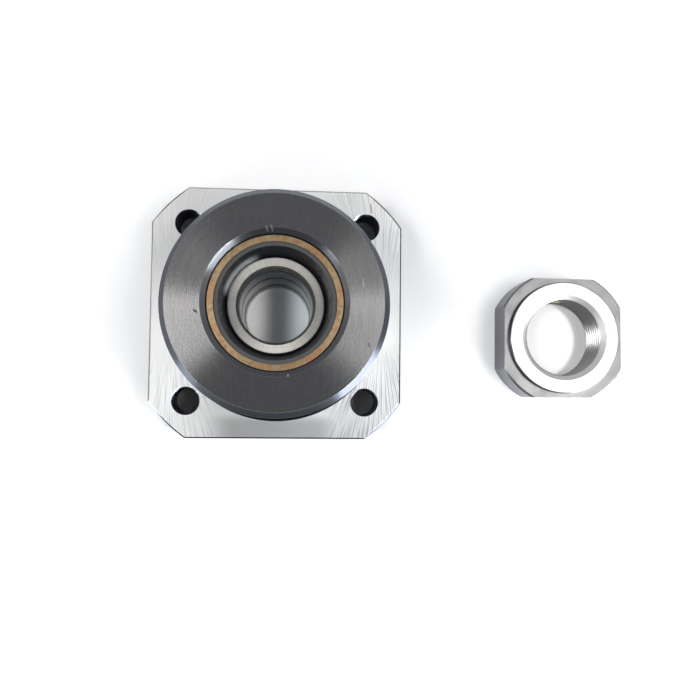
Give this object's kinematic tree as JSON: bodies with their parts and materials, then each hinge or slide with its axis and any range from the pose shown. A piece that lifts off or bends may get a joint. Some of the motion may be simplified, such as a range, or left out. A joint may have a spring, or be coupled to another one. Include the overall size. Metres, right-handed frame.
{
  "type": "ball screw end support",
  "caption": "Fixed-side ball screw end support: square flange and pilot boss round a sealed angular contact bearing pair, with its lock nut taken off.",
  "frame": {"origin": "on the bore axis, in the plane of the mounting face (the flange's boss side)", "axes": "+Z along the screw axis from the flange towards the end of the boss; +X square to a side of the flange, towards the loose lock nut"},
  "size_m": [0.0857, 0.044, 0.027],
  "materials": {
    "blackened_housing_steel": "turned and blackened steel with a bright ground mounting face",
    "lid_steel": "turned steel, blackened",
    "screw_steel": "blackened high-tensile steel",
    "bearing_steel": "ground and polished bearing steel",
    "cage_nylon": "moulded natural nylon",
    "collar_steel": "fine-turned and ground steel",
    "seal_case_metal": "copper-brown mottled sheet metal",
    "seal_rubber": "matte black nitrile rubber",
    "nut_steel": "bright ground steel",
    "slug_brass": "plain turned brass"
  },
  "bodies": {
    "housing_body": {"housing": "blackened_housing_steel", "retaining_lid": "lid_steel", "lid_screws": "screw_steel", "upper_bearing_outer_ring": "bearing_steel", "lower_bearing_outer_ring": "bearing_steel", "boss_seal_ring": "seal_case_metal", "boss_seal_lip": "seal_rubber", "lid_seal_case": "seal_case_metal", "lid_seal_lip": "seal_rubber", "lock_nut": "nut_steel", "nut_slug": "slug_brass", "nut_set_screw": "screw_steel"},
    "shaft_side": {"upper_bearing_inner_ring": "bearing_steel", "lower_bearing_inner_ring": "bearing_steel", "boss_collar": "collar_steel", "lid_collar": "collar_steel"},
    "upper_cage_body": {"upper_bearing_cage": "cage_nylon", "upper_ball_01": "bearing_steel", "upper_ball_02": "bearing_steel", "upper_ball_03": "bearing_steel", "upper_ball_04": "bearing_steel", "upper_ball_05": "bearing_steel", "upper_ball_06": "bearing_steel", "upper_ball_07": "bearing_steel", "upper_ball_08": "bearing_steel", "upper_ball_09": "bearing_steel", "upper_ball_10": "bearing_steel"},
    "lower_cage_body": {"lower_bearing_cage": "cage_nylon", "lower_ball_01": "bearing_steel", "lower_ball_02": "bearing_steel", "lower_ball_03": "bearing_steel", "lower_ball_04": "bearing_steel", "lower_ball_05": "bearing_steel", "lower_ball_06": "bearing_steel", "lower_ball_07": "bearing_steel", "lower_ball_08": "bearing_steel", "lower_ball_09": "bearing_steel", "lower_ball_10": "bearing_steel"}
  },
  "joints": [
    {"name": "shaft_spin", "type": "hinge", "parent": "housing_body", "child": "shaft_side", "pos_m": [0, 0, 0], "axis": [0, 0, 1], "continuous": true},
    {"name": "upper_cage_spin", "type": "hinge", "parent": "housing_body", "child": "upper_cage_body", "pos_m": [0, 0, 0], "axis": [0, 0, 1], "continuous": true},
    {"name": "lower_cage_spin", "type": "hinge", "parent": "housing_body", "child": "lower_cage_body", "pos_m": [0, 0, 0], "axis": [0, 0, 1], "continuous": true}
  ],
  "couplings": [
    {"joint": "upper_cage_spin", "follows": "shaft_spin", "ratio": 0.3969},
    {"joint": "lower_cage_spin", "follows": "shaft_spin", "ratio": 0.3969}
  ]
}
